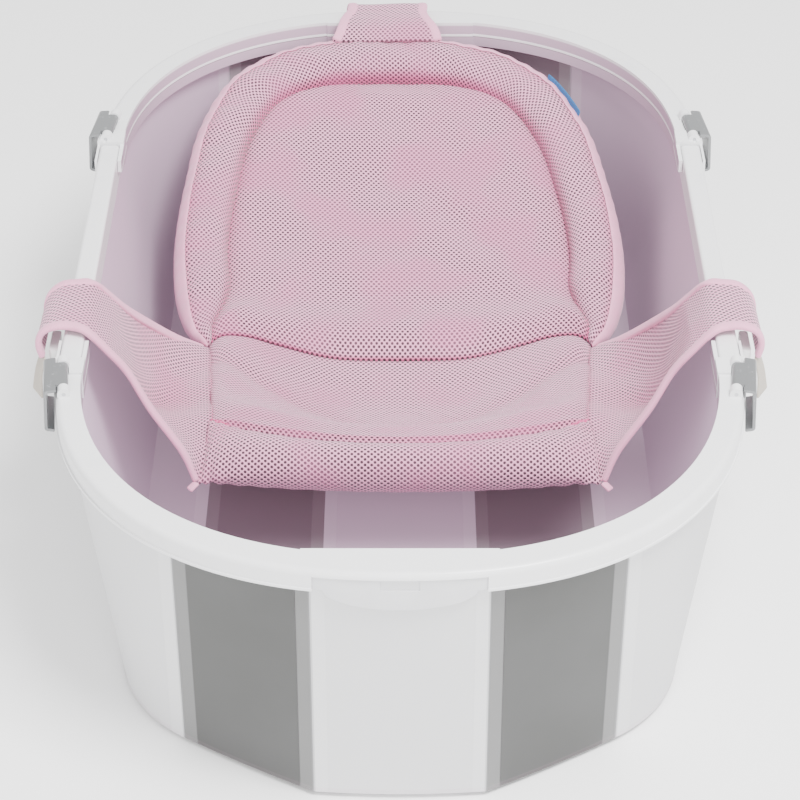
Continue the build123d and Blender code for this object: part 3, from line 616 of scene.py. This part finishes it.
inner_reach = [TUBE * ring_width(i) * 0.88 for i in range(len(ring_edge))]
inner_line = ring_edge + ring_in * np.array(inner_reach)[:, None]
inner_half = inner_line[: len(inner_line) // 2]
inner_top = float(inner_half[:, 1].max()) / BACK_LENGTH
panel_rows = []
panel_crease_shade = []
for share in np.linspace(0.0, inner_top, 70):
    reach = max(0.012, float(np.interp(share * BACK_LENGTH, inner_half[:, 1], inner_half[:, 0])))
    row, depth = [], []
    for t in np.linspace(-1, 1, 61):
        wide = math.sin(t * math.pi / 2)
        edge = 1 - abs(wide)
        hollow = -0.012 * (1 - wide * wide) * math.sin(math.pi * min(1.0, share) ** 0.8)
        bulge = 0.006 * (1 - math.exp(-((edge / 0.06) ** 2))) * min(1.0, (inner_top - share) / 0.06)
        bulge *= 1 - math.exp(-((share / 0.03) ** 2))
        crease = 0.005 * math.exp(-(((share - 0.09) / 0.05) ** 2))
        fold_line = share * 2.2 + abs(wide) * 1.2 - 1.35
        drag = 0.0018 * math.exp(-((fold_line / 0.12) ** 2)) * math.sin(9 * share + 2 * wide)
        corner_fold = 0.0028 * math.exp(-(((share * 3.2 - edge * 1.6 - 0.08) / 0.09) ** 2)) * abs(wide) ** 3
        puff = 0.0009 * math.sin(31 * share + 4 * wide) * math.sin(5 * wide + 2) * (1 - wide**4)
        row.append(on_back(wide * reach, share, hollow + bulge + crease + drag + corner_fold + puff))
        # Painted shade along the panel's sewn edge and along the crease at its foot.
        seam = 0.95 * math.exp(-((edge * reach / 0.004) ** 2))
        seam += 0.25 * math.exp(-((edge * reach / 0.016) ** 2))
        depth.append(seam + 0.8 * math.exp(-((share / 0.008) ** 2)))
    panel_rows.append(row)
    panel_crease_shade.append(depth)
back_panel = woven("sling_back_panel_pad", panel_rows, crease_shade=panel_crease_shade)
refine(back_panel, thick=0.006, offset=-1)
dress(back_panel, mesh_pink)
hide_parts("sling_back_panel")


def bind(name, line, wide, thick, facing):
    """Tape folded over an edge: a soft flat tube along the line, wide across facing's side."""
    line = np.array(line, float)
    facing = np.array(facing, float)
    if facing.ndim == 1:
        facing = np.repeat(facing[None], len(line), axis=0)
    way = np.gradient(line, axis=0)
    way /= np.linalg.norm(way, axis=1, keepdims=True)
    side = np.cross(way, facing)
    side /= np.linalg.norm(side, axis=1, keepdims=True)
    up = np.cross(side, way)
    rows = []
    for i in range(len(line)):
        row = []
        for angle in np.linspace(0, math.tau, 12, endpoint=False):
            c, s = math.cos(angle - math.pi / 2), math.sin(angle - math.pi / 2)
            flat = side[i] * (wide / 2 * math.copysign(abs(c) ** 0.7, c))
            row.append(line[i] + flat + up[i] * (thick / 2 * math.copysign(abs(s) ** 0.7, s)))
        rows.append(row)
    piece = woven(name, rows, ring=True)
    refine(piece)
    dress(piece, tape_pink)
    return piece


def fold_over(name, rows, columns, lift):
    """Tape folded over a pad's outer edge, on the pad's own rows and a little proud of them."""
    taken = rows[:, columns]
    middle = rows.mean(axis=1, keepdims=True)
    away = taken - middle
    away /= np.linalg.norm(away, axis=2, keepdims=True)
    piece = woven(name, taken + away * lift)
    refine(piece, thick=0.0016)
    dress(piece, tape_pink)
    return piece


outer_columns = [k % TUBE_STEPS for k in range(TUBE_STEPS * 3 // 4 - 4, TUBE_STEPS * 3 // 4 + 5)]
fold_over("sling_ring_binding", swollen, outer_columns, 0.0008)

# ---- sling: seat and front roll ----------------------------------------------------------------
# The seat is a hollowed pad between the back's crease and a stuffed roll that keeps the baby from
# sliding forward. A stitched seam sinks along the roll, and the corners end in small folded tabs.

SEAM_STEPS = 60
SEAM_LINE = ((0, -0.134, 0.109), (0.045, -0.131, 0.109), (0.1, -0.1195, 0.109), (0.1464, -0.104, 0.108))
roll_seam = smooth_path(SEAM_LINE, SEAM_STEPS)


def seam_at(s):
    """The point on the seam between seat and roll, s running from -1 to 1 across."""
    x, y, z = (np.interp(abs(s), np.linspace(0, 1, SEAM_STEPS), roll_seam[:, k]) for k in range(3))
    return Vector((math.copysign(x, s), y, z))


seat_rows = []
seat_crease_shade = []
for t in [*np.linspace(0, 1, 48), 1.03, 1.07]:
    row, depth = [], []
    for s in np.linspace(-1, 1, 67):
        flat = min(1.0, t)
        point = crease_at(s * CORNER[0]).lerp(seam_at(s), flat)
        well = -0.023 * (1 - abs(s) ** 2.4) * math.sin(math.pi * flat**0.85) ** 1.1
        swell = 0.007 * math.exp(-(((flat - 0.82) / 0.11) ** 2)) * (1 - abs(s) ** 6)
        cushion = 0.004 * (1 - math.exp(-((flat / 0.08) ** 2)))
        cushion *= 1 - math.exp(-(((1 - abs(s)) / 0.05) ** 2))
        valley_at = 0.18 + 0.5 * (1 - abs(s)) ** 0.7
        valley = -0.0042 * math.exp(-(((flat - valley_at) / 0.07) ** 2)) * abs(s) ** 0.6
        ripple = 0.001 * math.sin(23 * s + 7 * flat) * math.sin(math.pi * flat) * abs(s)
        point.z += well + swell + cushion + valley + ripple
        if t > 1:
            point += Vector((0, -0.1, -0.17)) * (t - 1)
        row.append(point)
        # Painted shade at the seams, in the valleys and along the side edges.
        seams = 0.5 * math.exp(-(((1 - t) / 0.01) ** 2)) + 0.7 * math.exp(-((t / 0.015) ** 2))
        valley_shade = 0.3 * math.exp(-(((flat - valley_at) / 0.09) ** 2))
        valley_shade += 0.25 * math.exp(-(((flat - 0.93) / 0.05) ** 2))
        edges = 0.8 * math.exp(-(((1 - abs(s)) / 0.012) ** 2))
        depth.append(0.0 if t > 1 else seams + valley_shade * 0.6 + edges)
    seat_rows.append(row)
    seat_crease_shade.append(depth)
seat_pad = woven("sling_seat_pad", seat_rows, crease_shade=seat_crease_shade)
refine(seat_pad, thick=0.006, offset=1)
dress(seat_pad, mesh_pink)
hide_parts("sling_seat_panel")

ROLL_CORNER = (0.154, -0.163, 0.091)
ROLL_STEPS = 28
roll_rows = []
roll_crease_shade = []
for t in np.linspace(-1, 1, 97):
    s = math.sin(t * math.pi / 2)
    back = seam_at(s)
    lean = abs(s) ** 2.2
    long = 0.0187 + 0.013 * lean
    thick = 0.0187 * (1 - 0.8 * abs(s) ** 7)
    tilt = 0.3 * lean
    middle_y = -0.15 + 0.0165 * lean
    middle_z = 0.0965 + 0.003 * lean
    row, depth = [], []
    for angle in np.linspace(0, math.tau, ROLL_STEPS, endpoint=False):
        turn = angle - math.pi / 2
        along, rise = long * math.cos(turn), thick * math.sin(turn)
        y = middle_y + along * math.cos(tilt) - rise * math.sin(tilt)
        z = middle_z + along * math.sin(tilt) + rise * math.cos(tilt)
        front = 0.5 - 0.5 * math.cos(turn)
        x = back.x + math.copysign(ROLL_CORNER[0] - roll_seam[-1, 0], s) * front * abs(s) ** 3
        pucker = 0.0009 * math.sin(t * 52 + angle * 2) * (0.25 + 0.75 * abs(s) ** 3)
        row.append(Vector((x, y, z + pucker)))
        # Painted shade along the roll's seam and at its ends.
        at_seam = 0.3 * math.exp(-(((turn - 0.8) / 0.2) ** 2))
        depth.append(at_seam + 0.7 * math.exp(-(((1 - abs(t)) / 0.03) ** 2)))
    roll_rows.append(row)
    roll_crease_shade.append(depth)
front_roll = woven("sling_front_roll_pad", roll_rows, ring=True, crease_shade=roll_crease_shade)
plump(front_roll, 5.0, 0.002)
refine(front_roll)
dress(front_roll, mesh_pink)
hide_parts("sling_front_roll")

seam_finish = Finish("seam_pink", Roughness=0.7)
stitches = (cloth_ways(seam_finish)[1] * (math.tau / 0.003)).math("SINE")
seam_pink = seam_finish.wear(
    colour=seam_finish.mix(stitches * 0.3 + 0.4, (0.5, 0.05, 0.18, 1), (0.66, 0.16, 0.33, 1)),
    height=stitches,
    depth=0.0003,
)
seam_points = [seam_at(s) + Vector((0, 0, 0.0006)) for s in np.linspace(-1, 1, 90)]
dress(bind("sling_roll_seam", seam_points, 0.0034, 0.003, (0, -0.35, 0.94)), seam_pink)

# ---- sling: side straps ------------------------------------------------------------------------
# A wide web of mesh on each side draws up from the seat's edge to the rail, folds over the rail
# and hangs down outside, where a moulded hook is sewn to its end. Tape binds its two long edges.

hook_low, hook_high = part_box("strap_hook_left")
RAIL_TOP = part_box("rail_left")[1].z
STRAP_FRONT = hook_low.y - 0.002
STRAP_REAR = STRAP_FRONT + 0.068
FALL_OUT = 0.2685
FALL_END = hook_high.z - 0.004
TAPE_WIDE = 0.0092
TAPE_THICK = 0.0052
WEB_ROWS = 78
WEB_THREADS = 31

web_front = [
    ROLL_CORNER,
    (0.1645, -0.157, 0.115),
    (0.1865, -0.15, 0.147),
    (0.203, -0.1425, 0.175),
    (0.2165, -0.142, 0.193),
    (0.2325, -0.1395, 0.2095),
    (0.2435, STRAP_FRONT, RAIL_TOP + 0.0065),
    (0.2545, STRAP_FRONT - 0.001, RAIL_TOP + 0.0075),
    (FALL_OUT - 0.0035, STRAP_FRONT - 0.002, RAIL_TOP + 0.0035),
    (FALL_OUT + 0.0005, STRAP_FRONT - 0.003, RAIL_TOP - 0.006),
    (FALL_OUT - 0.002, STRAP_FRONT - 0.003, FALL_END),
]
web_rear = [
    (CORNER[0] + 0.003, CORNER[1] + 0.002, CORNER[2] - 0.002),
    (0.179, 0.03, 0.1),
    (0.198, 0.004, 0.13),
    (0.2125, -0.03, 0.164),
    (0.223, -0.05, 0.189),
    (0.2335, -0.064, 0.2095),
    (0.2445, STRAP_REAR - 0.001, RAIL_TOP + 0.0075),
    (0.2555, STRAP_REAR - 0.003, RAIL_TOP + 0.0075),
    (FALL_OUT - 0.0035, STRAP_REAR - 0.007, RAIL_TOP + 0.002),
    (FALL_OUT - 0.0005, STRAP_REAR - 0.012, RAIL_TOP - 0.007),
    (FALL_OUT - 0.002, STRAP_REAR - 0.017, FALL_END),
]
side_seam = smooth_path([ROLL_CORNER, tuple(roll_seam[-1]), CORNER], WEB_THREADS)
for side, s in (("left", -1), ("right", 1)):
    mirror = np.array([s, 1, 1])
    front_line = smooth_path(web_front, WEB_ROWS) * mirror
    rear_line = smooth_path(web_rear, WEB_ROWS) * mirror
    rows, crease_shade = [], []
    for i in range(WEB_ROWS):
        t = i / (WEB_ROWS - 1)
        row, depth = [], []
        for j in range(WEB_THREADS):
            v = j / (WEB_THREADS - 1)
            under = np.array([-0.0028 * s, 0, -0.0025])
            sewn = side_seam[j] * mirror + under - front_line[0] * (1 - v) - rear_line[0] * v
            point = front_line[i] * (1 - v) + rear_line[i] * v + sewn * max(0.0, 1 - t / 0.3) ** 2
            loose = max(0.0, 1 - t / 0.66)
            sag = 0.021 * math.sin(math.pi * v) * math.sin(math.pi * min(1.0, t / 0.62) ** 0.9)
            gather = 0.0016 * math.sin(v * 21 + t * 8) * loose * (0.3 + math.sin(math.pi * v))
            pull = 0.005 * math.exp(-(((v - 0.72 + 0.9 * t) / 0.09) ** 2))
            pull *= math.sin(math.pi * min(1.0, t / 0.6))
            point = point + np.array([s * 0.3 * sag, 0, -sag + gather - pull])
            row.append(point)
            # Painted shade along the pulled crease and along the seam at the seat's edge.
            pull_crease_shade = 0.42 * math.exp(-(((v - 0.62 + 0.75 * t) / 0.16) ** 2))
            pull_crease_shade *= math.sin(math.pi * min(1.0, t / 0.62))
            depth.append(pull_crease_shade + 0.8 * math.exp(-((t / 0.012) ** 2)))
        rows.append(row)
        crease_shade.append(depth)
    strap = woven(f"sling_strap_{side}_web", rows, crease_shade=crease_shade)
    refine(strap, thick=0.003)
    dress(strap, mesh_pink)
    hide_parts(f"sling_strap_{side}")
    across = rear_line - front_line
    across /= np.linalg.norm(across, axis=1, keepdims=True)
    off_web = np.cross(np.gradient(front_line, axis=0), across) * s
    for edge, line, inward in (("front", front_line, 1), ("rear", rear_line, -1)):
        on_edge = line + across * (inward * TAPE_WIDE * 0.36)
        bind(f"sling_strap_{side}_{edge}_tape", on_edge, TAPE_WIDE, TAPE_THICK, off_web)
    corner = np.array(ROLL_CORNER) * mirror
    tail_steps = ((0, 0, 0), (0.0025, -0.003, -0.001), (0.0055, -0.0055, -0.003))
    tail = [corner + np.array(step) * mirror for step in tail_steps]
    bind(f"sling_corner_tab_{side}", smooth_path(tail, 8), 0.0065, 0.003, (s * 0.4, -0.3, 0.8))

# ---- sling: head strap -------------------------------------------------------------------------
# A taped tongue of mesh goes from the ring's top over the rear rim and down outside it. It ends
# at a moulded hook, as the side straps do.

top_low, top_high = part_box("sling_strap_top")
HEAD_HALF = (top_high.x - top_low.x) / 2
RIM_TIP = top_high.y - 0.004
head_line = [
    (0, ring_high.y - 0.022, RAIL_TOP - 0.004),
    (0, ring_high.y - 0.006, RAIL_TOP + 0.0035),
    (0, RIM_TIP - 0.022, RAIL_TOP + 0.005),
    (0, RIM_TIP - 0.008, RAIL_TOP + 0.0055),
    (0, RIM_TIP + 0.001, RAIL_TOP + 0.001),
    (0, RIM_TIP + 0.003, RAIL_TOP - 0.008),
    (0, RIM_TIP + 0.002, top_low.z + 0.001),
]
head_path = smooth_path(head_line, 34)
head_rows = []
for i, point in enumerate(head_path):
    half = HEAD_HALF * (1.06 - 0.3 * min(1.0, i / 16))
    sway = SLEW + 0.001 * math.sin(i * 0.4)
    across = [(t * half + sway, 0, 0.0006 * math.sin(3 * t)) for t in np.linspace(-1, 1, 25)]
    head_rows.append([point + np.array(step) for step in across])
head_strap = woven("sling_head_strap", head_rows)
head_edges = [[row[0] for row in head_rows], [row[-1] for row in head_rows]]
refine(head_strap, thick=0.003)
dress(head_strap, mesh_pink)
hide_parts("sling_strap_top")
head_way = np.gradient(head_path, axis=0)
head_off = np.stack([0 * head_way[:, 0], -head_way[:, 2], head_way[:, 1]], axis=1)
for side, edge, inward in (("left", head_edges[0], 1), ("right", head_edges[1], -1)):
    on_edge = np.array(edge) + np.array([inward * TAPE_WIDE * 0.36, 0, 0])
    bind(f"sling_head_strap_{side}_tape", on_edge, TAPE_WIDE, TAPE_THICK, head_off)

# ---- sling: hooks and side label ---------------------------------------------------------------
# White moulded hooks with a tab to pull on, and a blank blue tab sewn in the ring. The tabs and the hooks'
# lower parts are painted beige as shade.

hook_finish = Finish("hook_white", Roughness=0.45)
_, hook_y, hook_z = hook_finish.place()
hook_ribs = (hook_z * (math.tau / 0.0014)).math("SINE") + (hook_y * (math.tau / 0.0018)).math("SINE")
hook_weave = hook_ribs * 0.25
# Painted shade: the hook's lower part, where the tab hangs, is beige.
on_tab = 1 - hook_z.fade(hook_high.z - 0.0125, hook_high.z - 0.0115)
hook_white = hook_finish.wear(
    colour=hook_finish.mix(on_tab, (0.84, 0.84, 0.84, 1), (0.66, 0.62, 0.57, 1)),
    height=hook_weave * on_tab,
    depth=0.0002,
)
# Painted shade: the pull tab is beige all over, with a woven bump.
pull_tab_finish = Finish("pull_tab_shade", Roughness=0.75)
_, web_y, web_z = pull_tab_finish.place()
web_ribs = (web_z * (math.tau / 0.0014)).math("SINE") + (web_y * (math.tau / 0.0018)).math("SINE")
pull_tab_shade = pull_tab_finish.wear(
    colour=pull_tab_finish.mix(web_ribs * 0.15 + 0.5, (0.4, 0.35, 0.3, 1), (0.58, 0.53, 0.47, 1)),
    height=web_ribs,
    depth=0.0001,
)
for side in ("left", "right", "top"):
    soften(f"strap_hook_{side}", "sling", hook_white, 0.0008)
for side, s in (("left", -1), ("right", 1)):
    tab_rows = []
    for t in np.linspace(0, 1, 14):
        out = FALL_OUT - 0.004 + 0.005 * t + 0.0012 * math.sin(4 * t)
        turned = 0.009 * (0.35 + 0.65 * t)
        z = hook_high.z - 0.004 - 0.036 * t
        row = [(s * (out + v * turned), STRAP_FRONT - 0.003 + 0.016 * v, z) for v in np.linspace(0, 1, 9)]
        tab_rows.append(row)
    tab = woven(f"strap_hook_{side}_tab", tab_rows)
    refine(tab, thick=0.0018)
    dress(tab, pull_tab_shade)

label_finish = Finish("label_blue", Roughness=0.6)
label_x, label_y, _ = label_finish.place()
label_weave = ((label_x + label_y) * (math.tau / 0.0008)).math("SINE")
label_blue = label_finish.wear(
    colour=label_finish.mix(label_weave * 0.1 + 0.5, (0.01, 0.09, 0.26, 1), (0.03, 0.2, 0.42, 1)),
    height=label_weave,
    depth=0.0001,
)
label_rows = []
for i in range(12):
    step = 56 + i
    edge, inward = ring_edge[step], ring_in[step]
    row = []
    for t in np.linspace(0, 1, 5):
        out = edge + inward * (0.005 - 0.002 * t)
        row.append(on_back(out[0], out[1] / BACK_LENGTH, 0.011 + 0.008 * t))
    label_rows.append(row)
side_label = woven("sling_side_tab", label_rows)
refine(side_label, thick=0.001)
dress(side_label, label_blue)
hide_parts("sling_side_label")

# ---- floor, light and camera -------------------------------------------------------------------
# A white studio sweep, a large soft light high on the right, a weaker one on the left and a low
# fill in front.

floor_finish = Finish("studio_floor", Base_Color=(0.97, 0.97, 0.97, 1), Roughness=0.9)
bpy.ops.mesh.primitive_plane_add(size=14, location=(0, 0, 0))
studio_floor = bpy.context.object
studio_floor.name = "studio_floor"
studio_floor.data.materials.append(floor_finish.material)

sky = bpy.data.worlds.new("studio")
bpy.context.scene.world = sky
sky.use_nodes = True
sky.node_tree.nodes["Background"].inputs["Color"].default_value = (1, 1, 1, 1)
sky.node_tree.nodes["Background"].inputs["Strength"].default_value = 1.6


def soft_light(name, place, power, size):
    lamp = bpy.data.lights.new(name, "AREA")
    lamp.energy = power
    lamp.size = size
    holder = bpy.data.objects.new(name, lamp)
    holder.location = place
    holder.rotation_euler = (Vector((0, 0, 0.1)) - Vector(place)).to_track_quat("-Z", "Y").to_euler()
    bpy.context.scene.collection.objects.link(holder)


soft_light("key", (0.7, -0.9, 2.2), 112, 0.9)
soft_light("fill", (-1.8, -1.0, 1.3), 4, 1.6)
soft_light("front", (0.2, -2.4, 1.2), 32, 1.4)

camera = bpy.data.cameras.new("camera")
camera.lens = 124.7
camera.sensor_width = 36
camera_holder = bpy.data.objects.new("camera", camera)
camera_holder.location = (0.0, -1.8872, 1.2855)
camera_holder.rotation_euler = (math.radians(57), 0, 0)
bpy.context.scene.collection.objects.link(camera_holder)
bpy.context.scene.camera = camera_holder
